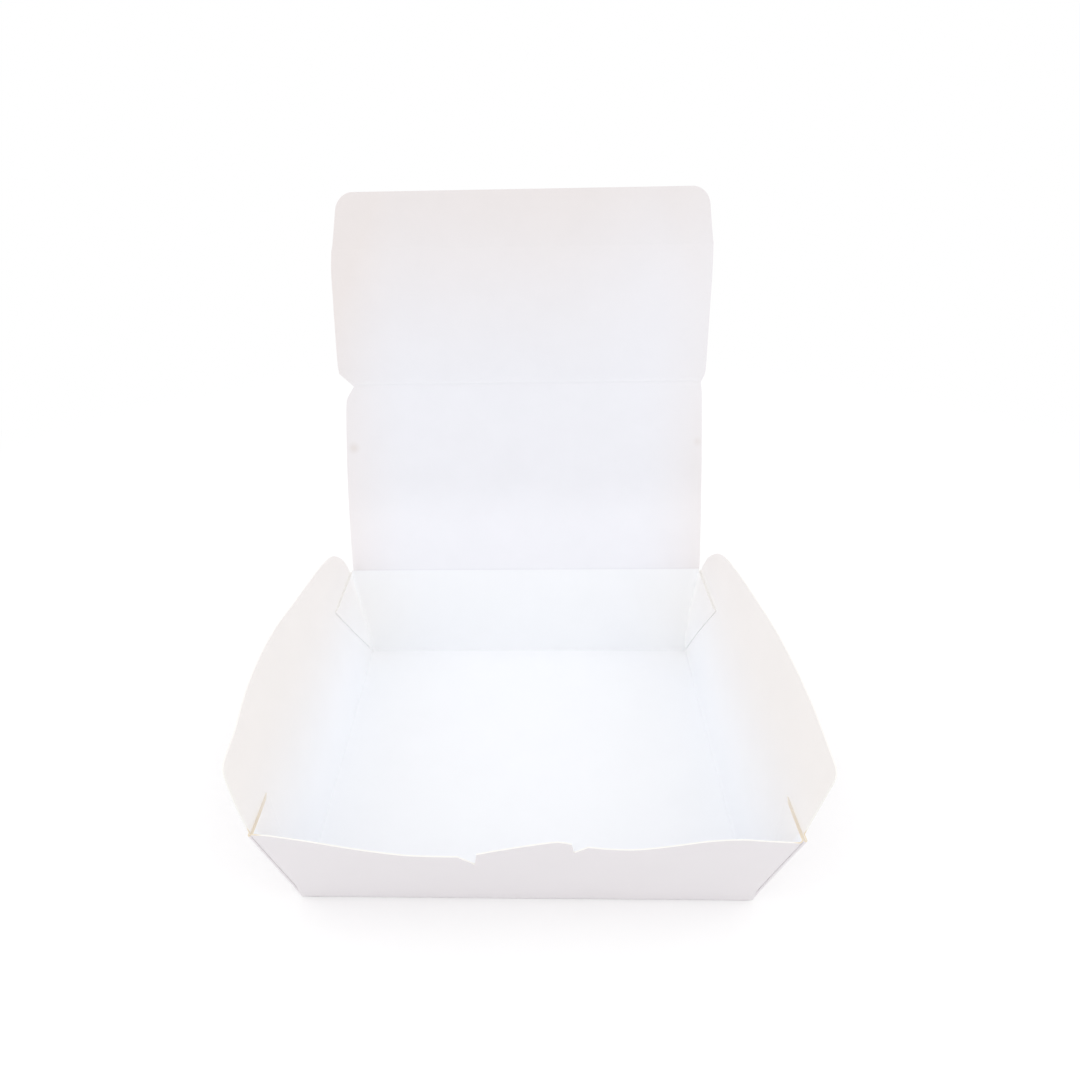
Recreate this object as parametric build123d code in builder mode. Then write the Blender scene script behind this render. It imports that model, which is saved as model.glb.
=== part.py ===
from build123d import *
import os
from math import asin, atan, cos, degrees, radians, sin, sqrt, tan

# A takeout food box cut and creased from one sheet of white coated paperboard.
# Millimetres. +X is the right of the box, +Y its back, +Z up.
# The origin is the centre of the base's underside.

# The board
board = 0.45
fold_radius = 0.9

# The flared tray
base_width = 150.0
base_depth = 126.0
wall_height = 42.4
side_flare = 7.0
end_flare = 7.5

# The corner webs, folded flat against the side walls
layer_gap = 0.12
web_bite = 0.2
web_fold_radius = 0.4
slit_overrun = 2.0

# The front wall's top edge: it dips between its corners and a central tongue
dip_depth = 8.6
dip_near_corner = 1.2
dip_near_corner_at = 66.0
dip_level_from = 38.0
tongue_half_width = 15.2
tongue_middle_drop = 4.2
tongue_end_drop = 6.4
notch_width = 4.6
notch_depth = 4.4
notch_foot_width = 0.9

# The lid, open and leaning back
lid_lean = 22.5
lid_bend = 6.0
lid_rear_length = 84.0
lid_rear_inset = 2.1
lid_notch_depth = 3.8
lid_notch_below = 6.0
lid_notch_above = 8.0

# The tuck flap on the lid's front edge
tuck_bend = 4.5
tuck_length = 22.0
tuck_corner_radius = 6.5

# The dust flaps on the side walls
flap_rear_end = 68.5
flap_rear_shoulder_at = 55.0
flap_rear_shoulder_height = 17.6
flap_crown_at = -20.0
flap_crown_height = 28.6
flap_front_height = 24.6
flap_front_taper = 2.6
flap_rear_corner_radius = 12.0
flap_front_corner_radius = 3.0

# Clearances of the parts that fold
crease_gap = 0.25
stack_gap = 0.3
side_gap = 0.35
tuck_gap = 0.35

# Lean of the walls, and how far their mid-planes lie inside the outer faces
side_angle = degrees(atan(side_flare / wall_height))
end_angle = degrees(atan(end_flare / wall_height))
side_half_board = board / 2 / cos(radians(side_angle))
end_half_board = board / 2 / cos(radians(end_angle))


def side_face_at(height):
    return base_width / 2 + side_flare * height / wall_height


def end_face_at(height):
    return base_depth / 2 + end_flare * height / wall_height


# Creases: the dust flaps fold below the lid, so the lid's crease is one board higher
flap_axis_height = wall_height
flap_axis_out = side_face_at(flap_axis_height) - side_half_board
lid_axis_height = flap_axis_height + board + stack_gap
lid_axis_back = end_face_at(lid_axis_height) - end_half_board
crease_drop = board / 2 + crease_gap + board * sin(radians(end_angle))
side_wall_top = flap_axis_height - crease_drop
back_wall_top = lid_axis_height - crease_drop

# The closed lid reaches from its crease to just inside the front wall
end_inner_at_crease = end_face_at(lid_axis_height) - 2 * end_half_board
tuck_axis_closed = end_inner_at_crease - (board / 2 + tuck_gap) / cos(radians(end_angle))
lid_chord = lid_axis_back + tuck_axis_closed
lid_front_length = (
    sqrt(lid_chord**2 - (lid_rear_length * sin(radians(lid_bend))) ** 2)
    - lid_rear_length * cos(radians(lid_bend))
)
lid_front_half = side_face_at(lid_axis_height) - 2 * side_half_board - side_gap
lid_rear_half = lid_front_half - lid_rear_inset
lid_rise_closed = degrees(asin(lid_front_length * sin(radians(lid_bend)) / lid_chord))

# The dust flaps stop short of the tuck flap that comes down in front of them
flap_front_end = (
    tuck_axis_closed
    - end_half_board
    - (board + stack_gap + board / 2) * tan(radians(end_angle))
    - stack_gap
)


# The tray: base and four walls, one folded skin with rounded creases. Its hollow
# has the same flare, one board thickness further in.
def tray_outline(height, skin):
    across = side_face_at(height) - skin / cos(radians(side_angle))
    along = end_face_at(height) - skin / cos(radians(end_angle))
    return 2 * across, 2 * along


hollow_top = lid_axis_height + board

with BuildPart() as hollow:
    with BuildSketch(Plane.XY.offset(board)):
        Rectangle(*tray_outline(board, board))
    with BuildSketch(Plane.XY.offset(hollow_top)):
        Rectangle(*tray_outline(hollow_top, board))
    loft()
    hollow_rim = hollow.faces().sort_by(Axis.Z)[-1]
    fillet(hollow.edges() - hollow_rim.edges(), fold_radius - board)


# A corner web is a triangle of board creased down its middle. It lies folded on
# the inner face of the side wall, so the wall, the web's first half and its
# second half make three layers there.
side_inner_foot = base_width / 2 - 2 * side_half_board
side_slope = 1 / cos(radians(side_angle))
web_plane = Plane(
    origin=(side_inner_foot, 0, 0),
    x_dir=(0, 1, 0),
    z_dir=(cos(radians(side_angle)), 0, -sin(radians(side_angle))),
)
web_foot = base_depth / 2 - end_half_board
corner_lean = atan(end_flare / (wall_height * side_slope))
corner_lean_on_end = atan(side_flare * cos(radians(end_angle)) / wall_height)
web_half_angle = (radians(90) - corner_lean - corner_lean_on_end) / 2
web_top = (side_wall_top - crease_gap) * side_slope
web_corner_top = web_foot + web_top * tan(corner_lean)
web_fold_top = web_foot - web_top * tan(web_half_angle - corner_lean)
web_thickness = 2 * board + 2 * layer_gap


def web_triangle(corner_inset, fold_inset, top_extra):
    top = web_top + top_extra
    rise = top / web_top
    corner_end = web_foot + (web_corner_top - web_foot) * rise - corner_inset
    fold_end = web_foot + (web_fold_top - web_foot) * rise + fold_inset
    foot = board + max(corner_inset + fold_inset, 0) / tan(2 * web_half_angle)
    middle = web_foot + (fold_inset - corner_inset) / 2
    return [(middle, foot), (corner_end, top), (fold_end, top)]


with BuildPart() as corner_web:
    with BuildSketch(web_plane):
        with BuildLine():
            Polyline(*web_triangle(-web_bite, 0, 0), close=True)
        make_face()
    extrude(amount=-web_thickness)
    fold_face = corner_web.faces().sort_by(Axis.Y)[0]
    fillet(fold_face.edges().sort_by(Edge.length)[-2:], web_fold_radius)
    # The slit between the wall and the first half is open at the fold
    with BuildSketch(web_plane):
        with BuildLine():
            Polyline(*web_triangle(board, -slit_overrun, slit_overrun), close=True)
        make_face()
    extrude(amount=-layer_gap, mode=Mode.SUBTRACT)
    # The slit between the halves is open at the top
    with BuildSketch(web_plane.offset(-layer_gap - board)):
        with BuildLine():
            Polyline(*web_triangle(board, board, slit_overrun), close=True)
        make_face()
    extrude(amount=-layer_gap, mode=Mode.SUBTRACT)

with BuildPart() as tray:
    with BuildSketch(Plane.XY):
        Rectangle(*tray_outline(0, 0))
    with BuildSketch(Plane.XY.offset(back_wall_top)):
        Rectangle(*tray_outline(back_wall_top, 0))
    loft()
    rim = tray.faces().sort_by(Axis.Z)[-1]
    fillet(tray.edges() - rim.edges(), fold_radius)
    add(hollow.part, mode=Mode.SUBTRACT)
    # The side and front walls stop lower than the back wall
    with BuildSketch(Plane.XY.offset(side_wall_top)):
        with Locations((0, end_face_at(side_wall_top) - 2 * end_half_board)):
            Rectangle(2 * base_width, 2 * base_depth, align=(Align.CENTER, Align.MAX))
    extrude(amount=wall_height, mode=Mode.SUBTRACT)
    # The die-cut edge of the front wall
    with BuildSketch(Plane.XZ.offset(base_depth / 2 - fold_radius)):
        with BuildLine():
            edge_end = side_face_at(side_wall_top) + board
            dip_level = side_wall_top - dip_depth
            notch_foot = (tongue_half_width + notch_foot_width, dip_level - notch_depth)
            notch_shoulder = (tongue_half_width + notch_width, dip_level)
            tongue_end = (tongue_half_width, side_wall_top - tongue_end_drop)
            wave = Spline(
                (edge_end, side_wall_top),
                (dip_near_corner_at, side_wall_top - dip_near_corner),
                (dip_level_from, dip_level),
                notch_shoulder,
                tangents=[(-1, 0), (-1, 0)],
            )
            Line(notch_shoulder, notch_foot)
            Line(notch_foot, tongue_end)
            ThreePointArc(
                tongue_end,
                (0, side_wall_top - tongue_middle_drop),
                (-tongue_end[0], tongue_end[1]),
            )
            Line((-tongue_end[0], tongue_end[1]), (-notch_foot[0], notch_foot[1]))
            Line((-notch_foot[0], notch_foot[1]), (-notch_shoulder[0], notch_shoulder[1]))
            mirror(wave, about=Plane.YZ)
            Polyline(
                (-edge_end, side_wall_top),
                (-edge_end, wall_height),
                (edge_end, wall_height),
                (edge_end, side_wall_top),
            )
        make_face()
    extrude(amount=2 * end_flare, mode=Mode.SUBTRACT)
    add(corner_web.part)
    mirror(corner_web.part, about=Plane.XZ)
    mirror(corner_web.part, about=Plane.YZ)
    mirror(corner_web.part.mirror(Plane.XZ), about=Plane.YZ)
tray.part.label = "tray"


# The lid stands on a plane through its crease. Its side profile is the sheet's
# section, and its outline is the die-cut shape seen square on.
def direction(lean):
    return Vector(0, sin(radians(lean)), cos(radians(lean)))


front_lean = lid_lean - lid_bend
tuck_lean = front_lean - tuck_bend
lid_axis = Vector(0, lid_axis_back, lid_axis_height)
mid_crease = lid_axis + direction(lid_lean) * lid_rear_length
tuck_axis = mid_crease + direction(front_lean) * lid_front_length
lid_front_end = tuck_axis - direction(front_lean) * (board + crease_gap)
chord_lean = lid_lean - lid_rise_closed
lid_plane = Plane(
    origin=lid_axis,
    x_dir=(1, 0, 0),
    z_dir=(0, -cos(radians(chord_lean)), sin(radians(chord_lean))),
)
crease_along = lid_rear_length * cos(radians(lid_rise_closed))

with BuildPart() as lid:
    with BuildSketch(Plane.YZ):
        with BuildLine() as lid_section:
            Polyline(
                (lid_axis.Y, lid_axis.Z),
                (mid_crease.Y, mid_crease.Z),
                (lid_front_end.Y, lid_front_end.Z),
            )
            offset(amount=board / 2, mode=Mode.REPLACE)
        make_face()
    extrude(amount=lid_front_half, both=True)
    with BuildSketch(lid_plane):
        with BuildLine():
            right_side = Polyline(
                (lid_rear_half, -board),
                (lid_rear_half, crease_along - lid_notch_below),
                (lid_rear_half - lid_notch_depth, crease_along),
                (lid_front_half, crease_along + lid_notch_above),
                (lid_front_half, lid_chord + board),
            )
            mirror(right_side, about=Plane.YZ)
            Line(right_side @ 0, (-lid_rear_half, -board))
            Line(right_side @ 1, (-lid_front_half, lid_chord + board))
        make_face()
    extrude(amount=lid_rear_length, both=True, mode=Mode.INTERSECT)
lid.part.label = "lid"

tuck_plane = Plane(
    origin=tuck_axis,
    x_dir=(1, 0, 0),
    z_dir=(0, -cos(radians(tuck_lean)), sin(radians(tuck_lean))),
)


# Folded down inside the front wall, the tuck flap fits between the corner webs
def tuck_half_at(distance):
    height = lid_axis_height - distance * cos(radians(end_angle))
    return side_face_at(height) - 2 * side_half_board - web_thickness * side_slope - stack_gap


with BuildPart() as tuck_flap:
    with BuildSketch(tuck_plane.offset(-board / 2)) as tuck_outline:
        with BuildLine():
            Polyline(
                (tuck_half_at(0), 0),
                (tuck_half_at(tuck_length), tuck_length),
                (-tuck_half_at(tuck_length), tuck_length),
                (-tuck_half_at(0), 0),
                close=True,
            )
        make_face()
        fillet(tuck_outline.vertices().group_by(Axis.Y)[-1], tuck_corner_radius)
    extrude(amount=board)
    # The creased edge is round about the crease
    with BuildSketch(Plane.YZ):
        with Locations((tuck_axis.Y, tuck_axis.Z)):
            Circle(board / 2)
    extrude(amount=tuck_half_at(0), both=True)
tuck_flap.part.label = "tuck_flap"

# The right dust flap lies in the plane of its wall. The left one mirrors it.
flap_plane = Plane(
    origin=(flap_axis_out, 0, flap_axis_height),
    x_dir=(0, 1, 0),
    z_dir=(cos(radians(side_angle)), 0, -sin(radians(side_angle))),
)

with BuildPart() as right_dust_flap:
    with BuildSketch(flap_plane.offset(-board / 2)) as flap_outline:
        with BuildLine():
            rear_shoulder = (flap_rear_shoulder_at, flap_rear_shoulder_height)
            front_shoulder = (-flap_front_end + flap_front_taper, flap_front_height)
            Line((-flap_front_end, 0), (flap_rear_end, 0))
            Line((flap_rear_end, 0), rear_shoulder)
            ThreePointArc(rear_shoulder, (flap_crown_at, flap_crown_height), front_shoulder)
            Line(front_shoulder, (-flap_front_end, 0))
        make_face()
        shoulders = flap_outline.vertices().sort_by(Axis.Y)[-2:].sort_by(Axis.X)
        fillet(shoulders[-1], flap_rear_corner_radius)
        fillet(flap_outline.vertices().sort_by(Axis.Y)[-1], flap_front_corner_radius)
    extrude(amount=board)
    with BuildSketch(Plane.XZ):
        with Locations((flap_axis_out, flap_axis_height)):
            Circle(board / 2)
    extrude(amount=flap_front_end)
    with BuildSketch(Plane.XZ):
        with Locations((flap_axis_out, flap_axis_height)):
            Circle(board / 2)
    extrude(amount=-flap_rear_end)
right_dust_flap.part.label = "right_dust_flap"

with BuildPart() as left_dust_flap:
    mirror(right_dust_flap.part, about=Plane.YZ)
left_dust_flap.part.label = "left_dust_flap"

os.makedirs("parts", exist_ok=True)
for piece in (tray, lid, tuck_flap, left_dust_flap, right_dust_flap):
    export_step(piece.part, f"parts/{piece.part.label}.step")

print("lid crease", round(lid_axis_back, 3), round(lid_axis_height, 3))
print("tuck crease", round(tuck_axis.Y, 3), round(tuck_axis.Z, 3))
print("dust flap crease", round(flap_axis_out, 3), round(flap_axis_height, 3))
print("lid closes through", round(90 + lid_lean - lid_rise_closed, 2), "degrees")
tuck_turn = 90 + end_angle + lid_rise_closed - (lid_lean - tuck_lean)
print("tuck folds through", round(tuck_turn, 2), "degrees")
print("dust flap folds through", round(90 + side_angle, 2), "degrees")
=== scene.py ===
# %% [markdown]
# # A takeout food box
# The real box is one sheet of white coated paperboard, die-cut, creased and
# folded: a flared tray, a lid on the back wall, a tuck flap on the lid and a
# dust flap on each side wall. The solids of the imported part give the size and
# the places. They are stiff and perfectly square, so here each one is built
# again as what it is, a thin folded sheet with rounded folds, cut edges that
# show the raw pulp, and the slight warp that folded board always has.

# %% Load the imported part
import math

import bmesh
import bpy
from mathutils import Matrix, Vector


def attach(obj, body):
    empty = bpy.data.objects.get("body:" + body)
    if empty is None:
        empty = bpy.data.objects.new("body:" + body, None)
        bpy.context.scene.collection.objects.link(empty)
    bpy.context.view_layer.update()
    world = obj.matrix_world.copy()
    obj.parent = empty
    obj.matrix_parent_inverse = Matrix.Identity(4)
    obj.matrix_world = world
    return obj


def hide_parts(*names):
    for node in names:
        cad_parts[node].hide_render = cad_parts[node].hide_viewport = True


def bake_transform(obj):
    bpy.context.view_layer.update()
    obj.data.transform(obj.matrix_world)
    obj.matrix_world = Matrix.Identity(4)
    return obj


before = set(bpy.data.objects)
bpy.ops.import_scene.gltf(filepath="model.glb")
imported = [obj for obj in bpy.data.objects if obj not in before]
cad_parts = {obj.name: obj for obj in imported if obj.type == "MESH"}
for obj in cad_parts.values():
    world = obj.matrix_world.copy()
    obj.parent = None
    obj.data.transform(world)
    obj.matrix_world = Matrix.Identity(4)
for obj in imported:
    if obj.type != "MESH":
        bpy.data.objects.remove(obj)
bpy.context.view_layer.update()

print("solid parts:", sorted(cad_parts))

# %% [markdown]
# ## Sizes of the sheet
# The numbers are the ones that the solids were built from, in millimetres, so
# every new sheet stands where its solid does, apart from its warp. A wall is
# described by its middle layer: half a board inside the outer face.

# %% The board and the tray
board = 0.45
base_width, base_depth, wall_height = 150.0, 126.0, 42.4
side_flare, end_flare = 7.0, 7.5
side_angle = math.atan(side_flare / wall_height)
end_angle = math.atan(end_flare / wall_height)
crease_height = wall_height
lid_crease_height = 43.15
rim_height = 41.85
back_rim_height = 42.6
web_top_height = 41.6


def side_at(height):
    return base_width / 2 + side_flare * height / wall_height - board / 2 / math.cos(side_angle)


def end_at(height):
    return base_depth / 2 + end_flare * height / wall_height - board / 2 / math.cos(end_angle)


def in_metres(point):
    return Vector(point) * 0.001


print("mouth", round(2 * side_at(rim_height), 1), "by", round(2 * end_at(rim_height), 1), "mm")

# %% [markdown]
# ## From rows of points to a sheet of board
# A sheet is easiest to think of as rows of points on its middle layer. Two
# neighbouring rows make a strip of faces, and where two patches share a row
# their points are merged, so the sheet has no seam. Solidify then gives it the
# thickness of the board, or a share of it where a fold is pressed flat. It puts
# the coated finish on the inside, another one on the outside, and the raw one
# on the rim, where the knife went through. The flat blank's own coordinates are
# kept as a UV map: patterns laid out on it stay on the board however it folds.


# %% Build a sheet from patches
def board_sheet(name, patches, finishes, outside):
    shape = bmesh.new()
    blank_map = shape.loops.layers.uv.new("blank")
    pressing = shape.verts.layers.deform.verify()
    for points, blank, *thickness in patches:
        corners = [[shape.verts.new(in_metres(p)) for p in row] for row in points]
        for r, row in enumerate(corners):
            for c, corner in enumerate(row):
                corner[pressing][0] = thickness[0][r][c] if thickness else 1.0
        for r in range(len(corners) - 1):
            for c in range(len(corners[0]) - 1):
                places = ((r, c), (r, c + 1), (r + 1, c + 1), (r + 1, c))
                face = shape.faces.new([corners[i][j] for i, j in places])
                for loop, (i, j) in zip(face.loops, places):
                    loop[blank_map].uv = (blank[i][j][0] * 0.001, blank[i][j][1] * 0.001)
    bmesh.ops.remove_doubles(shape, verts=shape.verts, dist=2e-6)
    bmesh.ops.dissolve_degenerate(shape, edges=shape.edges, dist=1e-6)
    bmesh.ops.recalc_face_normals(shape, faces=shape.faces)
    facing = sum((face.normal * face.calc_area() for face in shape.faces), Vector())
    if facing.dot(Vector(outside)) < 0:
        bmesh.ops.reverse_faces(shape, faces=shape.faces)
    mesh = bpy.data.meshes.new(name)
    shape.to_mesh(mesh)
    shape.free()
    for finish in finishes:
        mesh.materials.append(finish)
    sheet = bpy.data.objects.new(name, mesh)
    bpy.context.scene.collection.objects.link(sheet)
    sheet.vertex_groups.new(name="thickness")
    solidify = sheet.modifiers.new("board", "SOLIDIFY")
    solidify.thickness = board * 0.001
    solidify.vertex_group = "thickness"
    solidify.thickness_vertex_group = 0.0
    solidify.offset = 0
    solidify.use_even_offset = False
    solidify.material_offset_rim = 1
    solidify.material_offset = 2
    return made_plain(sheet)


def made_plain(piece):
    """Turn the result of a piece's modifiers into its own plain mesh."""
    bpy.context.view_layer.update()
    seen = piece.evaluated_get(bpy.context.evaluated_depsgraph_get())
    mesh = bpy.data.meshes.new_from_object(seen)
    piece.modifiers.clear()
    piece.vertex_groups.clear()
    piece.data = mesh
    mesh.name = piece.name
    mesh.shade_smooth()
    mesh.set_sharp_from_angle(angle=math.radians(42))
    print(piece.name, "has", len(mesh.polygons), "faces")
    return piece


# %% [markdown]
# A die-cut edge is a smooth line through a few stations of (place, height).
# flow draws it with matched slopes, the way a flexible ruler lies through
# pins, and straight is the plain line that the sides of a notch have.


# %% Lines through stations
def flow(stations, at):
    xs = [s[0] for s in stations]
    hs = [s[1] for s in stations]
    if at <= xs[0]:
        return hs[0]
    if at >= xs[-1]:
        return hs[-1]
    k = max(i for i in range(len(xs) - 1) if xs[i] <= at)

    def slope(i):
        low, high = max(i - 1, 0), min(i + 1, len(xs) - 1)
        return (hs[high] - hs[low]) / (xs[high] - xs[low])

    span = xs[k + 1] - xs[k]
    t = (at - xs[k]) / span
    return (
        (2 * t**3 - 3 * t**2 + 1) * hs[k]
        + (t**3 - 2 * t**2 + t) * span * slope(k)
        + (3 * t**2 - 2 * t**3) * hs[k + 1]
        + (t**3 - t**2) * span * slope(k + 1)
    )


def straight(first, last, at):
    return first[1] + (last[1] - first[1]) * (at - first[0]) / (last[0] - first[0])


def steps(start, end, count):
    return [start + (end - start) * i / count for i in range(count + 1)]


# %% [markdown]
# ## The finish of the board
# Food board is bleached pulp with a thin coat on its inner side: nearly white,
# a soft satin sheen, and a faint cloudiness where the fibres lie thicker. Light
# and shade are painted into the colour as well. The inside is lighter and cooler
# in the middle of the blank, where the base takes the most light, and darker and
# warmer towards its outer panels. One band of the tray is painted lighter as a
# whole, and one of the lid darker. A few soft round spots tint it further: two
# warm light ones in the tray's back corners, painted light against the shade
# that falls there, a cool one and two small brown specks on the lid. All of it
# is drawn on the blank's own coordinates, and a very fine bump breaks up the
# highlights as the fibres do.


# %% A helper for wiring nodes
def wired(tree, kind, inputs=None, **settings):
    node = tree.nodes.new(kind)
    for key, value in settings.items():
        setattr(node, key, value)
    for key, value in (inputs or {}).items():
        if isinstance(value, bpy.types.NodeSocket):
            tree.links.new(value, node.inputs[key])
        else:
            node.inputs[key].default_value = value
    return node


def new_finish(name):
    finish = bpy.data.materials.new(name)
    finish.use_nodes = True
    finish.node_tree.nodes.clear()
    return finish, finish.node_tree


# %% The white coated board
def from_to(tree, value, start, end, low=0.0, high=1.0):
    """A soft step: low where the value is under start, high where it is over end."""
    return wired(
        tree, "ShaderNodeMapRange",
        {"Value": value, "From Min": start, "From Max": end, "To Min": low, "To Max": high},
        interpolation_type="SMOOTHSTEP",
    ).outputs["Result"]


def blended(tree, share_of_b, a, b):
    return wired(
        tree, "ShaderNodeMix", {"Factor": share_of_b, "A": a, "B": b}, data_type="RGBA"
    ).outputs["Result"]


def coated_board(name, middle, outer, sides, top, painted_light_step=(0.0, 1.0, 1.0), spots=()):
    """Sides, top and painted_light_step each begin and end at a place on the blank, in metres;
    painted_light_step multiplies the colour there, painting light above 1 and shade below 1.
    """
    finish, tree = new_finish(name)
    blank = wired(tree, "ShaderNodeUVMap", uv_map="blank").outputs["UV"]
    parts = wired(tree, "ShaderNodeSeparateXYZ", {"Vector": blank}).outputs
    aside = wired(tree, "ShaderNodeMath", {0: parts["X"]}, operation="ABSOLUTE").outputs["Value"]
    # The mix from the middle colour to the outer one paints light and shade on the inside: lighter in the
    # middle, darker towards the outer panels.
    toward_outer_colour = wired(
        tree, "ShaderNodeMath",
        {0: from_to(tree, aside, *sides), 1: from_to(tree, parts["Y"], *top)},
        operation="ADD", use_clamp=True,
    ).outputs["Value"]
    colour = blended(tree, toward_outer_colour, (*middle, 1), (*outer, 1))
    clouds = wired(
        tree, "ShaderNodeTexNoise",
        {"Vector": blank, "Scale": 55.0, "Detail": 4.0, "Roughness": 0.6},
    ).outputs["Fac"]
    cloudy = wired(
        tree, "ShaderNodeMapRange",
        {"Value": clouds, "From Min": 0.3, "From Max": 0.7, "To Min": 0.99, "To Max": 1.008},
    ).outputs["Result"]
    # A soft step multiplies the colour of one band of the blank: painted light where the factor is above 1,
    # painted shade where it is below.
    painted_from, painted_to, painted_factor = painted_light_step
    painted_light_factor = from_to(tree, parts["Y"], painted_from, painted_to, 1.0, painted_factor)
    clouds_and_painted_light = wired(tree, "ShaderNodeMath", {0: cloudy, 1: painted_light_factor}, operation="MULTIPLY").outputs["Value"]
    colour = wired(
        tree, "ShaderNodeVectorMath", {0: colour, "Scale": clouds_and_painted_light}, operation="SCALE"
    ).outputs["Vector"]
    for u, v, radius, strength, tint in spots:
        away = wired(
            tree, "ShaderNodeVectorMath", {0: blank, 1: (u * 0.001, v * 0.001, 0.0)},
            operation="DISTANCE",
        ).outputs["Value"]
        mark = from_to(tree, away, 0.0, radius * 0.001, strength, 0.0)
        colour = blended(tree, mark, colour, (*tint, 1))
    fibres = wired(
        tree, "ShaderNodeTexNoise",
        {"Vector": blank, "Scale": 1400.0, "Detail": 5.0, "Roughness": 0.65},
    ).outputs["Fac"]
    bump = wired(
        tree, "ShaderNodeBump", {"Strength": 0.10, "Distance": 0.00012, "Height": fibres}
    ).outputs["Normal"]
    satin = wired(
        tree, "ShaderNodeMapRange",
        {"Value": clouds, "From Min": 0.3, "From Max": 0.7, "To Min": 0.50, "To Max": 0.60},
    ).outputs["Result"]
    shader = wired(
        tree, "ShaderNodeBsdfPrincipled",
        {"Base Color": colour, "Roughness": satin, "Normal": bump},
    )
    shader.inputs["Specular IOR Level"].default_value = 0.35
    wired(tree, "ShaderNodeOutputMaterial", {"Surface": shader.outputs["BSDF"]})
    return finish


# %% [markdown]
# The knife leaves the pulp bare. A cut edge has no coat, so it is rough and
# a warm off-white, with the fibres as short streaks along it. At the two front
# corners the bare edges are painted darker and yellow-brown: painted shade for
# the gap in those corners.


# %% The cut edge
def cut_edge(name):
    finish, tree = new_finish(name)
    place = wired(tree, "ShaderNodeTexCoord").outputs["Object"]
    streaks = wired(
        tree, "ShaderNodeTexNoise",
        {"Vector": place, "Scale": 900.0, "Detail": 4.0, "Roughness": 0.7},
    ).outputs["Fac"]
    pulp = blended(tree, streaks, (0.90, 0.885, 0.85, 1), (0.94, 0.93, 0.905, 1))
    parts = wired(tree, "ShaderNodeSeparateXYZ", {"Vector": place}).outputs
    # Painted shade: the bare edges at the two front corners turn darker and yellow-brown, for the shade in
    # the gap there.
    front_corner_shade = wired(tree, "ShaderNodeMath", {0: parts["X"]}, operation="ABSOLUTE").outputs["Value"]
    front_corner_shade = from_to(tree, front_corner_shade, 0.0775, 0.0805)
    for limit in (
        from_to(tree, parts["Y"], -0.070, -0.050, 1.0, 0.45),
        from_to(tree, parts["Y"], -0.050, -0.040, 1.0, 0.0),
        from_to(tree, parts["Z"], 0.0425, 0.0445, 1.0, 0.0),
    ):
        front_corner_shade = wired(
            tree, "ShaderNodeMath", {0: front_corner_shade, 1: limit}, operation="MULTIPLY"
        ).outputs["Value"]
    pulp = blended(tree, front_corner_shade, pulp, (0.82, 0.73, 0.59, 1))
    bump = wired(
        tree, "ShaderNodeBump", {"Strength": 0.35, "Distance": 0.0001, "Height": streaks}
    ).outputs["Normal"]
    shader = wired(tree, "ShaderNodeBsdfPrincipled", {"Base Color": pulp, "Normal": bump})
    shader.inputs["Roughness"].default_value = 0.9
    shader.inputs["Specular IOR Level"].default_value = 0.2
    wired(tree, "ShaderNodeOutputMaterial", {"Surface": shader.outputs["BSDF"]})
    return finish


# %% The finishes of this box
# A spot is (across, up the blank, radius) in millimetres, its strength and its tint.
brown, cool, corner_light = (0.56, 0.45, 0.36), (0.865, 0.872, 0.925), (0.97, 0.955, 0.935)
# Painted light and shade: lighter and cooler where the base takes the most light, darker towards the outer
# panels, 2 % lighter towards the back wall, and light spots against the shade in the back corners.
tray_inside = coated_board(
    "white_board_tray", (0.924, 0.937, 0.964), (0.875, 0.84, 0.815), sides=(0.078, 0.135), top=(0.30, 0.40),
    painted_light_step=(-0.063, 0.085, 1.022),
    spots=[(-88, 82, 48, 0.7, corner_light), (88, 82, 48, 0.7, corner_light)],
)
# Painted shade: darker and warmer towards the lid's sides and top, and 5 % darker from about 20 mm above the
# hinge up, so only the part by the hinge stays light.
lid_inside = coated_board(
    "white_board_lid", (0.875, 0.878, 0.925), (0.86, 0.81, 0.80), sides=(0.05, 0.1), top=(0.18, 0.29),
    painted_light_step=(0.126, 0.15, 0.95),
    spots=[(80, 226, 75, 0.5, cool), (-76.5, 162.4, 3.4, 0.22, brown), (77.6, 163.8, 2.8, 0.14, brown)],
)
# Partly a plainer outside finish, partly painted shade: darker and lilac-grey for the faces that turn away
# from the light.
outside_board_painted_shade = coated_board(
    "white_board_outside_painted_shade", (0.81, 0.78, 0.80), (0.83, 0.795, 0.815), sides=(0.06, 0.12), top=(0.15, 0.29)
)
raw_edge = cut_edge("raw_cut_edge")
print("finishes:", tray_inside.name, lid_inside.name, outside_board_painted_shade.name, raw_edge.name)

# %% [markdown]
# ## The tray
# Folding never gives a square box: each corner settles a little off, most of
# them by less than a millimetre. The drift of the eight corners is spread
# smoothly through the tray, so panels that meet stay together.

# %% Where the corners settle
corner_drift = {
    ("left", "front", "foot"): (-0.2, 0.0),
    ("right", "front", "foot"): (-0.3, -0.5),
    ("left", "back", "foot"): (0.5, 0.4),
    ("right", "back", "foot"): (2.6, -0.2),
    ("left", "front", "rim"): (-0.7, 0.3),
    ("right", "front", "rim"): (0.2, -0.9),
    ("left", "back", "rim"): (0.5, 0.0),
    ("right", "back", "rim"): (-0.5, 0.0),
}


def share(value):
    return min(max(value, 0.0), 1.0)


def drift(point):
    x, y, z = point
    right = share(x / side_at(z) / 2 + 0.5)
    back = share(y / end_at(z) / 2 + 0.5)
    up = share(z / rim_height)
    dx = dy = 0.0
    for (side, end, level), (sx, sy) in corner_drift.items():
        weight = right if side == "right" else 1 - right
        weight *= back if end == "back" else 1 - back
        weight *= up if level == "rim" else (1 - up) ** 2
        dx += sx * weight
        dy += sy * weight
    return dx, dy


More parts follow.
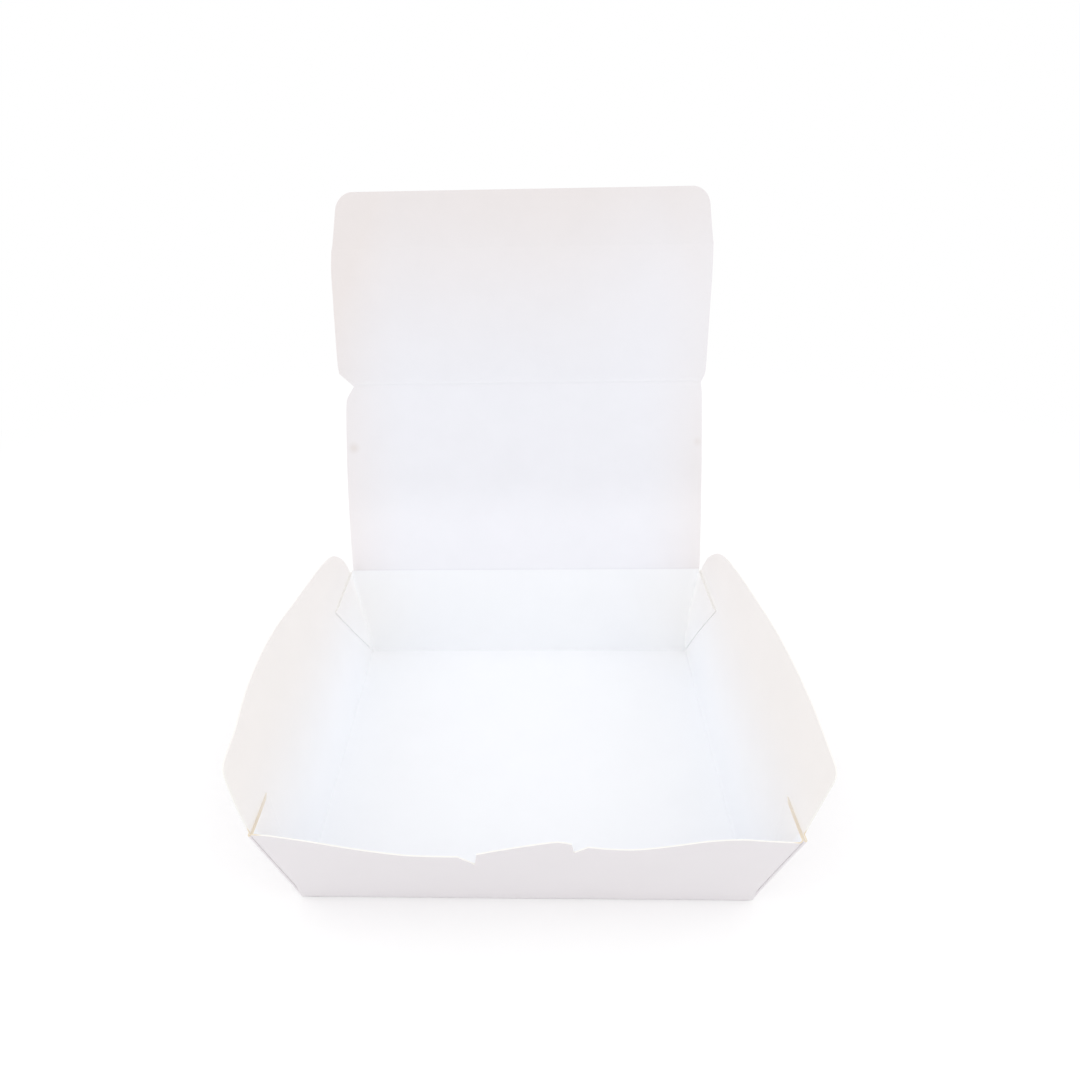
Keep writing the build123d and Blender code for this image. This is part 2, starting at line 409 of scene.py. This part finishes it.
# %% [markdown]
# The front wall's top edge is the box's fanciest cut: it dips between the
# corners and a tongue, with a notch on each side of the tongue. Its free edge
# also wanders in and out a little. Both are given as stations along the edge,
# measured up the slope of the wall from the level of the creases.

# %% The front wall's edge
left_wave = [(-83, 0.3), (-77.5, 0.1), (-66.9, -1.8), (-55.6, -4.8), (-44.1, -8.0), (-36.7, -9.6),
             (-29.1, -10.1), (-21.5, -10.6)]
tongue = [(-15.2, -9.2), (-11.5, -7.9), (-7.6, -6.8), (0, -4.8), (8.8, -2.9), (11.2, -3.0), (14.6, -4.4)]
right_wave = [(19.9, -6.7), (26.8, -8.1), (34.3, -8.5), (40.2, -7.6), (45.9, -6.1), (51.6, -4.2),
              (57.2, -2.5), (65.8, -1.3), (73.3, -1.7), (83, -1.7)]
left_notch, right_notch = (-16.4, -16.4), (15.7, -9.8)
edge_bow = [(-81, 0), (-66, 0.9), (-50, 1.5), (-25, 1.6), (0, 0.4), (25, -0.6), (50, -0.75), (66, -0.6),
            (81, 0)]
edge_half_width = 83


def front_edge(x):
    if x <= left_wave[-1][0]:
        drop = flow(left_wave, x)
    elif x <= left_notch[0]:
        drop = straight(left_wave[-1], left_notch, x)
    elif x <= tongue[0][0]:
        drop = straight(left_notch, tongue[0], x)
    elif x <= tongue[-1][0]:
        drop = flow(tongue, x)
    elif x <= right_notch[0]:
        drop = straight(tongue[-1], right_notch, x)
    elif x <= right_wave[0][0]:
        drop = straight(right_notch, right_wave[0], x)
    else:
        drop = flow(right_wave, x)
    return crease_height + drop * math.cos(end_angle)


front_stations = sorted(
    set(steps(-edge_half_width, left_wave[-1][0], 26))
    | {left_wave[-1][0], -19.0, -17.6, left_notch[0], tongue[0][0]}
    | set(steps(tongue[0][0], tongue[-1][0], 14))
    | {right_notch[0], 17.0, 18.4, right_wave[0][0]}
    | set(steps(right_wave[0][0], edge_half_width, 26))
)
across = [x / edge_half_width for x in front_stations]
along = steps(-1, 1, 56)
print("front edge from", round(front_edge(left_notch[0]), 1), "to", round(front_edge(9), 1), "mm high")

# %% [markdown]
# At each corner the sheet isn't cut. The end wall turns into a triangle of
# board, the web, that is creased down its middle and pressed flat against the
# side wall. Seen from above, the sheet runs from the end wall round to the
# web's inner half, back round the web's fold to its outer half, and round once
# more into the side wall: three layers. This path is worked out at every
# height, from nothing at the foot of the corner to its full length at the rim.
#
# The web's fold is pressed flat, which squeezes the board there to less than
# half of its thickness and brings the two layers close to the wall. Each point
# of the path therefore also carries its share of the full thickness.

# %% The path of a corner web
layer_gap = 0.03
pitch = board + layer_gap
squeezed = 0.42
pressed_at = {1: 0.33, 2: 0.53}
web_fold_at_rim = {"front": 54.5, "back": 39.5}
web_turn, web_opens_over, pressed_reach = 0.5, 2.5, 3.0


def arc(centre, first, last, radius, count):
    angles = [math.radians(a) for a in steps(first, last, count)]
    return [(centre[0] + radius * math.cos(a), centre[1] + radius * math.sin(a)) for a in angles]


def corner_path(height, at_end):
    """From the end wall to the side wall: (x, y, thickness share), drawn for the right back corner."""
    end, side = end_at(height), side_at(height)
    fold = base_depth / 2 + (web_fold_at_rim[at_end] - base_depth / 2) * height / web_top_height
    open_share = share((end - fold) / web_opens_over)
    turn, hem = web_turn * open_share, pitch * open_share / 2

    def layer(number, y):
        near = share(1 - (y - fold) / pressed_reach)
        near *= near * (3 - 2 * near)
        away = pitch * number + (pressed_at[number] - pitch * number) * near
        return side - away * open_share, y, 1 - (1 - squeezed) * near * open_share

    bead = (pressed_at[2] - pressed_at[1]) / 2 * open_share
    inner_x, thickness = layer(2, end - turn)[0], layer(2, fold)[2]
    hem_x = layer(1, end - hem)[0]
    path = [(x, y, 1.0) for x, y in arc((inner_x - turn, end - turn), 90, 0, turn, 3)]
    for t in (0.2, 0.4, 0.6, 0.75, 0.85, 0.92, 0.97):
        path.append(layer(2, end - turn + (fold + bead - end + turn) * t))
    middle = (side - (pressed_at[1] + pressed_at[2]) / 2 * open_share, fold + bead)
    path += [(x, y, thickness) for x, y in arc(middle, 180, 360, bead, 4)]
    for t in (0.03, 0.08, 0.15, 0.3, 0.5, 0.75):
        path.append(layer(1, fold + bead + (end - hem - fold - bead) * t))
    path += [(x, y, 1.0) for x, y in arc(((hem_x + side) / 2, end - hem), 180, 0, (side - hem_x) / 2, 4)]
    return path, inner_x - turn, end - hem


def end_wall_place(f, end, height):
    half = corner_path(height, end)[1]
    return (f * half, -end_at(height) if end == "front" else end_at(height), 1.0)


def side_wall_place(f, side, height):
    half = corner_path(height, "front" if f < 0 else "back")[2]
    return (-side_at(height) if side == "left" else side_at(height), f * half, 1.0)


turns = len(corner_path(rim_height, "back")[0])
print("points round a corner:", turns)

# %% [markdown]
# The walls and webs together are one closed band of board. Each column of the
# band climbs from the fold at its foot to its own cut edge.

# %% The band of walls and webs
foot_height = 0.8
wall_rows = 18
bow_height = 36
side_bulge, bulge_reach = 0.5, 60


def corner_columns(side, end, order):
    sx, sy = (-1 if side == "left" else 1), (-1 if end == "front" else 1)
    edge = front_edge(sx * edge_half_width) if end == "front" else back_rim_height

    def place(k):
        def at(height):
            x, y, thickness = corner_path(height, end)[0][k]
            return (sx * x, sy * y, thickness)
        return at

    return [(place(k), edge + (web_top_height - edge) * share(k / 3)) for k in order]


def band_columns():
    """One entry for each column: its plan point at a height, and the height of its edge."""
    outward, inward = range(1, turns - 1), range(turns - 2, 0, -1)
    columns = [
        (lambda h, f=f: end_wall_place(f, "front", h), front_edge(f * edge_half_width)) for f in across
    ]
    columns += corner_columns("right", "front", outward)
    columns += [(lambda h, f=f: side_wall_place(f, "right", h), rim_height) for f in along]
    columns += corner_columns("right", "back", inward)
    columns += [(lambda h, f=f: end_wall_place(f, "back", h), back_rim_height) for f in reversed(across)]
    columns += corner_columns("left", "back", outward)
    columns += [(lambda h, f=f: side_wall_place(f, "left", h), rim_height) for f in reversed(along)]
    columns += corner_columns("left", "front", inward)
    return columns + columns[:1]


def settle(point):
    x, y, z = point
    dx, dy = drift(point)
    toward_front = share((-y - end_at(z) + 3) / 2.5)
    bow = flow(edge_bow, x) * share(z / bow_height) ** 1.6 * toward_front
    near_side = share(abs(x) - side_at(z) + 3)
    mid_wall = share(1 - (y / bulge_reach) ** 2) * math.sin(math.pi * share(z / wall_height))
    bulge = side_bulge * near_side * mid_wall
    return (x + dx + math.copysign(bulge, x), y + dy - bow, z)


def blank_place(x, y, z):
    slope_end = z / math.cos(end_angle)
    slope_side = z / math.cos(side_angle)
    over_end = abs(y) / end_at(z) > abs(x) / side_at(z)
    if over_end:
        return (x, math.copysign(base_depth / 2 + slope_end, y))
    return (math.copysign(base_width / 2 + slope_side, x), y)


columns = band_columns()
band_points, band_blank, band_thickness = [], [], []
for r in range(wall_rows + 1):
    row, flat, shares = [], [], []
    for place, top in columns:
        z = foot_height + (top - foot_height) * r / wall_rows
        x, y, thickness = place(z)
        row.append(settle((x, y, z)))
        flat.append(blank_place(x, y, z))
        shares.append(thickness)
    band_points.append(row)
    band_blank.append(flat)
    band_thickness.append(shares)
print("band:", len(columns), "columns of", wall_rows + 1, "rows")

# %% [markdown]
# The base is a plain panel. Between it and the walls lies the fold, a small
# round bend of board thickness, drawn here as a curve from the base's edge up
# to the foot of the wall.

# %% The base and its folds
base_level = board / 2
fold_reach, fold_length = 0.6, 1.3
base_half_x = side_at(base_level) - fold_reach
base_half_y = end_at(base_level) - fold_reach


def bend(p0, p1, p2, t):
    return tuple(a * (1 - t) ** 2 + b * 2 * t * (1 - t) + c * t**2 for a, b, c in zip(p0, p1, p2))


def end_fold(f, t, end, sign):
    foot = (*end_wall_place(f, end, foot_height)[:2], foot_height)
    knee = (f * base_half_x, sign * end_at(base_level), base_level)
    p = bend((f * base_half_x, sign * base_half_y, base_level), knee, foot, t)
    return settle(p), (p[0], sign * (base_half_y + fold_length * t))


def side_fold(g, t, side, sign):
    foot = (*side_wall_place(g, side, foot_height)[:2], foot_height)
    knee = (sign * side_at(base_level), g * base_half_y, base_level)
    p = bend((sign * base_half_x, g * base_half_y, base_level), knee, foot, t)
    return settle(p), (sign * (base_half_x + fold_length * t), p[1])


base_points = [[settle((f * base_half_x, g * base_half_y, base_level)) for f in across] for g in along]
base_blank = [[(f * base_half_x, g * base_half_y) for f in across] for g in along]
patches = [(band_points, band_blank, band_thickness), (base_points, base_blank)]
for fold, places, wall, sign in (
    (end_fold, across, "front", -1),
    (end_fold, across, "back", 1),
    (side_fold, along, "left", -1),
    (side_fold, along, "right", 1),
):
    placed = [[fold(f, t, wall, sign) for f in places] for t in steps(0, 1, 4)]
    rows = [[point for point, _ in row] for row in placed]
    flats = [[flat for _, flat in row] for row in placed]
    patches.append((rows, flats))

tray_sheet = board_sheet("tray_sheet", patches, [outside_board_painted_shade, raw_edge, tray_inside], outside=(0, 0, -1))
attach(tray_sheet, "tray")
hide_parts("tray")

# %% [markdown]
# ## The lid
# The lid is hinged by a crease only. The piece begins on the back wall just
# below that crease, so that the board runs through the fold. Across its middle
# is a second crease, and a V is cut into each end of it.

# %% The lid's profile and outline
lid_lean, front_lean, tuck_lean = math.radians(22.5), math.radians(16.5), math.radians(12.0)
lid_rear, lid_front, tuck_length = 84.0, 56.1, 22.0
lid_on_blank = 106.6
ridge_height, ridge_half_width, lid_curl = 0.16, 0.9, 0.5
lid_axis = Vector((0, end_at(lid_crease_height), lid_crease_height))
wall_up = Vector((0, math.sin(end_angle), math.cos(end_angle)))
rear_up = Vector((0, math.sin(lid_lean), math.cos(lid_lean)))
front_up = Vector((0, math.sin(front_lean), math.cos(front_lean)))
tuck_up = Vector((0, math.sin(tuck_lean), math.cos(tuck_lean)))
mid_crease = lid_axis + rear_up * lid_rear
tuck_axis = mid_crease + front_up * lid_front


def lid_place(x, s):
    if s < 0:
        p = lid_axis + wall_up * s
        facing = Vector((0, -wall_up.z, wall_up.y))
    elif s < lid_rear:
        p = lid_axis + rear_up * s
        facing = Vector((0, -rear_up.z, rear_up.y))
    else:
        p = mid_crease + front_up * (s - lid_rear)
        facing = Vector((0, -front_up.z, front_up.y))
    ridge = ridge_height * max(0.0, 1 - abs(s - lid_rear) / ridge_half_width)
    curl = lid_curl * math.sin(math.pi * share(s / lid_rear)) * (x / 80) ** 2
    p = p + facing * (ridge + curl)
    return (x, p.y, p.z)


left_side = [(-0.6, -79.3), (4.4, -79.5), (23, -79.9), (41, -80.0), (59, -79.7), (76.3, -79.0), (78.5, -78.2)]
right_side = [(-0.6, 80.2), (3.4, 80.3), (22, 80.1), (40, 79.8), (58, 79.4), (75.4, 78.9), (79, 78.8)]
left_front = [(88.6, -81.6), (92, -82.0), (103, -82.1), (120, -82.0), (132, -81.9), (139.4, -81.2)]
right_front = [(86, 79.6), (88.3, 80.1), (101, 80.3), (117.5, 80.5), (129.6, 80.6), (139.4, 80.4)]
left_v, right_v = (83.0, -75.4), (83.2, 78.2)


def edge_at(s, rear, tip, front):
    if s <= rear[-1][0]:
        return flow(rear, s)
    if s <= tip[0]:
        return straight(rear[-1], tip, s)
    if s <= front[0][0]:
        return straight(tip, front[0], s)
    return flow(front, s)


lid_stations = sorted(
    {-0.6, -0.45, -0.3, -0.15, 0.0, 0.15, 0.3, 0.5, 0.75, 1.5, 3.0}
    | set(steps(5, 77, 30))
    | {78.5, 79.4, 80.4, 81.4, 82.3, 83.0, 83.2, 83.5, 83.8, 84.0, 84.3, 84.6, 85.1, 86.0, 87.0, 88.0, 88.6}
    | set(steps(90, 139.4, 22))
)
lid_across = steps(0, 1, 64)
lid_points, lid_blank = [], []
for s in lid_stations:
    left, right = edge_at(s, left_side, left_v, left_front), edge_at(s, right_side, right_v, right_front)
    xs = [left + (right - left) * f for f in lid_across]
    lid_points.append([lid_place(x, s) for x in xs])
    lid_blank.append([(x, lid_on_blank + s) for x in xs])

lid_sheet = board_sheet(
    "lid_sheet", [(lid_points, lid_blank)], [outside_board_painted_shade, raw_edge, lid_inside], outside=(0, 1, 0)
)
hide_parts("lid")
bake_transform(lid_sheet)

# %% [markdown]
# ## The tuck flap
# The flap on the lid's free edge begins on the lid side of its crease in the
# same way. Its corners are rounded so that they slide inside the front wall.

# %% The tuck flap
corner_radius = 6.5
root_reach = 0.7


def tuck_half(s, side):
    shape = [(0, 80.9), (1.5, 80.5), (22, 77.2)]
    half = flow(shape, s) + (0.1 - 0.02 * s if side < 0 else -0.4)
    into_corner = s - (tuck_length - corner_radius)
    if into_corner > 0:
        half -= corner_radius - math.sqrt(max(corner_radius**2 - into_corner**2, 0.0))
    return side * half


tuck_points, tuck_blank = [], []
tuck_stations = [-root_reach, -0.5, -0.3, -0.15, 0, 0.15, 0.3, 0.5, 0.7, 1.5, 3, 5, 7, 9, 11, 13, 15,
                 16.5, 18, 19.2, 20.2, 21, 21.5, 21.8, 21.95, tuck_length]
for s in tuck_stations:
    p = tuck_axis + (front_up if s < 0 else tuck_up) * s
    left, right = tuck_half(max(s, 0), -1), tuck_half(max(s, 0), 1)
    if s < 0:
        left += (left_front[-1][1] - left) * -s / root_reach
        right += (right_front[-1][1] - right) * -s / root_reach
    xs = [left + (right - left) * f for f in lid_across]
    tuck_points.append([(x, p.y, p.z) for x in xs])
    tuck_blank.append([(x, lid_on_blank + lid_rear + lid_front + s) for x in xs])

tuck_sheet = board_sheet(
    "tuck_sheet", [(tuck_points, tuck_blank)], [outside_board_painted_shade, raw_edge, lid_inside], outside=(0, 1, 0)
)
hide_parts("tuck_flap")
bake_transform(tuck_sheet)

# %% [markdown]
# ## The dust flaps
# Each side wall ends in an arched flap that stands up in line with it. Its
# outline is three lines of stations (along the wall, above the crease): the
# front edge, the top and the rear corner. The sheet between them is spanned as
# a soap film would be, each point drawn from the four sides round it. Behind
# its front end the free edge leans outward by about a millimetre, as board does
# when it springs back.

# %% The dust flaps
flap_root, flap_rows, flap_columns = 0.45, 16, 72
flap_on_blank = 118
crease_rows = (-0.55, -0.42, -0.3, -0.15, 0.0, 0.15, 0.3)
front_lean_out, further_lean_out = 0.1, 1.0
left_arch = (
    [(-68.7, flap_root), (-68.5, 6.0), (-67.9, 12.4), (-66.6, 19.5), (-66.0, 21.6), (-65.3, 22.9)],
    [(-65.3, 22.9), (-63.6, 23.9), (-59.3, 24.5), (-53.2, 24.9), (-45.9, 26.2), (-37.7, 27.8), (-28.6, 28.8),
     (-17.8, 28.9), (-5.1, 27.9), (12.0, 25.2), (26.9, 22.9), (43.3, 20.2), (53.8, 17.6), (59.0, 15.4),
     (62.5, 12.9)],
    [(69.4, flap_root), (69.0, 3.0), (66.8, 8.2), (62.5, 12.9)],
)
right_arch = (
    [(-68.7, flap_root), (-68.7, 9.0), (-68.7, 20.0), (-68.6, 22.8), (-68.0, 24.6)],
    [(-68.0, 24.6), (-66.4, 25.6), (-60.0, 26.2), (-48.7, 26.9), (-37.6, 27.4), (-24.8, 27.6), (-9.0, 27.1),
     (10.7, 25.1), (31.9, 22.5), (49.4, 19.4), (57.5, 16.4), (62.0, 13.4)],
    [(69.4, flap_root), (69.0, 3.0), (66.7, 8.6), (62.0, 13.4)],
)


def even_points(stations, count):
    reach = [0.0]
    for a, b in zip(stations, stations[1:]):
        reach.append(reach[-1] + math.dist(a, b))
    lines = [list(zip(reach, values)) for values in zip(*stations)]
    return [tuple(flow(line, reach[-1] * t) for line in lines) for t in steps(0, 1, count)]


def film(front, top, rear):
    """Rows of (along, above) from the crease up to the top edge."""

    def spanned(i, f, j, g, k):
        foot = front[0][k] + (rear[0][k] - front[0][k]) * f
        low_corners = (1 - f) * (1 - g) * front[0][k] + f * (1 - g) * rear[0][k]
        high_corners = (1 - f) * g * front[-1][k] + f * g * rear[-1][k]
        sides = (1 - f) * front[j][k] + f * rear[j][k]
        return (1 - g) * foot + g * top[i][k] + sides - low_corners - high_corners

    return [
        [(spanned(i, f, j, g, 0), spanned(i, f, j, g, 1)) for i, f in enumerate(steps(0, 1, flap_columns))]
        for j, g in enumerate(steps(0, 1, flap_rows))
    ]


def flap_sheet(name, body, side, arch):
    counts = (flap_rows, flap_columns, flap_rows)
    rows = film(*(even_points(line, count) for line, count in zip(arch, counts)))
    rows = [[(y, h) for y, _ in rows[0]] for h in crease_rows] + rows
    points, blank = [], []
    for row in rows:
        points.append([])
        blank.append([])
        for y, h in row:
            lean = (front_lean_out + further_lean_out * share((y + 69) / 25)) * share(h / 28) ** 2
            x = side_at(crease_height) + h * math.sin(side_angle) + lean
            dx = drift((side * x, y, rim_height))[0]
            points[-1].append((side * x + dx, y, crease_height + h * math.cos(side_angle)))
            blank[-1].append((side * (flap_on_blank + h), y))
    sheet = board_sheet(name, [(points, blank)], [outside_board_painted_shade, raw_edge, tray_inside], outside=(side, 0, 0))
    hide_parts(body)
    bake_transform(sheet)


flap_sheet("left_flap_sheet", "left_dust_flap", -1, left_arch)
flap_sheet("right_flap_sheet", "right_dust_flap", 1, right_arch)

# %% [markdown]
# ## Pressed creases
# A steel rule presses every fold line before the box is folded, and the board
# answers with a fine raised bead on the inside of the fold. A bead only
# follows a line, so Geometry Nodes makes it: the line becomes a curve of even
# points, and a small ring is swept along it, half sunk in the board.


# %% Geometry Nodes for a bead along a line
def bead_nodes():
    group = bpy.data.node_groups.new("bead_along_lines", "GeometryNodeTree")
    sockets = group.interface
    sockets.new_socket("Lines", in_out="INPUT", socket_type="NodeSocketGeometry")
    radius = sockets.new_socket("Bead Radius", in_out="INPUT", socket_type="NodeSocketFloat")
    spacing = sockets.new_socket("Point Spacing", in_out="INPUT", socket_type="NodeSocketFloat")
    finish = sockets.new_socket("Finish", in_out="INPUT", socket_type="NodeSocketMaterial")
    sockets.new_socket("Beads", in_out="OUTPUT", socket_type="NodeSocketGeometry")
    given = wired(group, "NodeGroupInput").outputs
    line = wired(group, "GeometryNodeMeshToCurve", {"Mesh": given["Lines"]}).outputs["Curve"]
    even = wired(
        group, "GeometryNodeResampleCurve", {"Curve": line, "Length": given["Point Spacing"]}, mode="LENGTH"
    ).outputs["Curve"]
    ring = wired(
        group, "GeometryNodeCurvePrimitiveCircle", {"Resolution": 10, "Radius": given["Bead Radius"]}
    ).outputs["Curve"]
    bead = wired(
        group, "GeometryNodeCurveToMesh", {"Curve": even, "Profile Curve": ring, "Fill Caps": True}
    ).outputs["Mesh"]
    whole = wired(group, "GeometryNodeRealizeInstances", {"Geometry": bead}).outputs["Geometry"]
    done = wired(
        group, "GeometryNodeSetMaterial", {"Geometry": whole, "Material": given["Finish"]}
    ).outputs["Geometry"]
    wired(group, "NodeGroupOutput", {"Beads": done})
    return group, radius.identifier, spacing.identifier, finish.identifier


bead_group, radius_id, spacing_id, finish_id = bead_nodes()


def crease_bead(name, body, line, closed, radius, colour):
    pressed, tree = new_finish("pressed_" + name)
    shader = wired(tree, "ShaderNodeBsdfPrincipled", {"Base Color": (*colour, 1), "Roughness": 0.55})
    wired(tree, "ShaderNodeOutputMaterial", {"Surface": shader.outputs["BSDF"]})
    mesh = bpy.data.meshes.new(name)
    pairs = [(i, i + 1) for i in range(len(line) - 1)] + ([(len(line) - 1, 0)] if closed else [])
    mesh.from_pydata([in_metres(p) for p in line], pairs, [])
    bead = bpy.data.objects.new(name, mesh)
    bpy.context.scene.collection.objects.link(bead)
    maker = bead.modifiers.new("bead", "NODES")
    maker.node_group = bead_group
    maker[radius_id] = radius * 0.001
    maker[spacing_id] = 0.003
    maker[finish_id] = pressed
    made_plain(bead)
    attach(bead, body)


# %% Beads on the base and across the lid
ring_of_base = [(f * base_half_x, -base_half_y) for f in steps(-1, 1, 40)]
ring_of_base += [(base_half_x, g * base_half_y) for g in steps(-1, 1, 40)[1:]]
ring_of_base += [(-x, -y) for x, y in ring_of_base[1:-1]]
ring_of_base = [settle((x, y, board - 0.04)) for x, y in ring_of_base]
crease_bead(
    "base_crease_bead", "tray", ring_of_base, closed=True, radius=0.11, colour=(0.92, 0.93, 0.955)
)

bead_level = Vector((0, -front_up.z, front_up.y)) * (board / 2 - 0.03)
bead_places = steps(left_v[1] + 1.5, right_v[1] - 1.5, 50)
across_lid = [Vector(lid_place(x, lid_rear)) + bead_level for x in bead_places]
crease_bead(
    "lid_crease_bead", "lid", across_lid, closed=False, radius=0.08, colour=(0.85, 0.85, 0.885)
)

# %% [markdown]
# ## Floor, light and camera
# The box stands on a white table under an even sky, with a soft lamp on each
# side so that each one lights the inner face of the opposite wall.
# The floor's colour alone makes the ground white: near the box it is lit and
# keeps the soft shadow, and further out it fades to pure white.


# %% What the camera sees by itself or in a gloss
def seen_directly(tree):
    rays = wired(tree, "ShaderNodeLightPath").outputs
    seen = rays["Is Camera Ray"]
    for kind in ("Is Glossy Ray", "Is Transmission Ray"):
        seen = wired(tree, "ShaderNodeMath", {0: seen, 1: rays[kind]}, operation="MAXIMUM").outputs["Value"]
    return seen


# %% The floor
lit_radius, white_radius = 0.22, 0.55
bpy.ops.mesh.primitive_plane_add(size=40)
floor = bpy.context.object
floor.name = "floor"
ground, tree = new_finish("white_ground")
place = wired(tree, "ShaderNodeTexCoord").outputs["Object"]
distance = wired(tree, "ShaderNodeVectorMath", {0: place}, operation="LENGTH").outputs["Value"]
fade = from_to(tree, distance, lit_radius, white_radius)
near = wired(tree, "ShaderNodeBsdfDiffuse", {"Color": (0.98, 0.98, 0.98, 1)}).outputs["BSDF"]
far = wired(tree, "ShaderNodeEmission", {"Color": (1, 1, 1, 1), "Strength": 1.0}).outputs["Emission"]
seen_ground = wired(tree, "ShaderNodeMixShader", {0: fade, 1: near, 2: far}).outputs["Shader"]
bounce = wired(tree, "ShaderNodeBsdfDiffuse", {"Color": (0.87, 0.87, 0.87, 1)}).outputs["BSDF"]
ground_shader = wired(tree, "ShaderNodeMixShader", {0: seen_directly(tree), 1: bounce, 2: seen_ground})
wired(tree, "ShaderNodeOutputMaterial", {"Surface": ground_shader.outputs["Shader"]})
floor.data.materials.append(ground)

# %% The sky and the lamps
world = bpy.data.worlds.new("even_sky")
bpy.context.scene.world = world
world.use_nodes = True
tree = world.node_tree
tree.nodes.clear()
sky = wired(tree, "ShaderNodeBackground", {"Color": (1, 1, 1, 1), "Strength": 0.97}).outputs["Background"]
backdrop = wired(tree, "ShaderNodeBackground", {"Color": (1, 1, 1, 1), "Strength": 1.0}).outputs["Background"]
mixed = wired(tree, "ShaderNodeMixShader", {0: seen_directly(tree), 1: sky, 2: backdrop})
wired(tree, "ShaderNodeOutputWorld", {"Surface": mixed.outputs["Shader"]})

lamp_energy, lamp_softness = 0.36, math.radians(70)
for name, toward in (("left_lamp", (1.0, 0.25, -0.8)), ("right_lamp", (-1.0, 0.25, -0.8))):
    lamp_data = bpy.data.lights.new(name, "SUN")
    lamp_data.energy = lamp_energy
    lamp_data.angle = lamp_softness
    lamp = bpy.data.objects.new(name, lamp_data)
    bpy.context.scene.collection.objects.link(lamp)
    lamp.rotation_mode = "QUATERNION"
    lamp.rotation_quaternion = Vector(toward).to_track_quat("-Z", "Y")

# %% [markdown]
# The camera stands where the box looks as it does on the table in front of a
# person: a little over 30 degrees down, wide, and close.

# %% The camera
picture_width = 1080
focal_pixels, middle_pixel = 712, 508.947
camera_place = (0.9182, -203.1684, 226.0632)
pitch_down, yaw, roll = 0.549376, -0.028388, 0.021405
forward = Vector((
    math.sin(yaw) * math.cos(pitch_down), math.cos(yaw) * math.cos(pitch_down), -math.sin(pitch_down)
))
level = Vector((math.cos(yaw), -math.sin(yaw), 0))
down = forward.cross(level)
to_right = level * math.cos(roll) + down * math.sin(roll)
to_down = down * math.cos(roll) - level * math.sin(roll)
camera_data = bpy.data.cameras.new("camera")
camera_data.sensor_width = 36
camera_data.lens = camera_data.sensor_width * focal_pixels / picture_width
camera_data.shift_x = (picture_width / 2 - middle_pixel) / picture_width
camera_data.clip_start = 0.01
camera = bpy.data.objects.new("camera", camera_data)
bpy.context.scene.collection.objects.link(camera)
turned = Matrix((to_right, -to_down, -forward)).transposed().to_4x4()
camera.matrix_world = Matrix.Translation(in_metres(camera_place)) @ turned
bpy.context.scene.camera = camera
bpy.context.scene.view_settings.view_transform = "Standard"
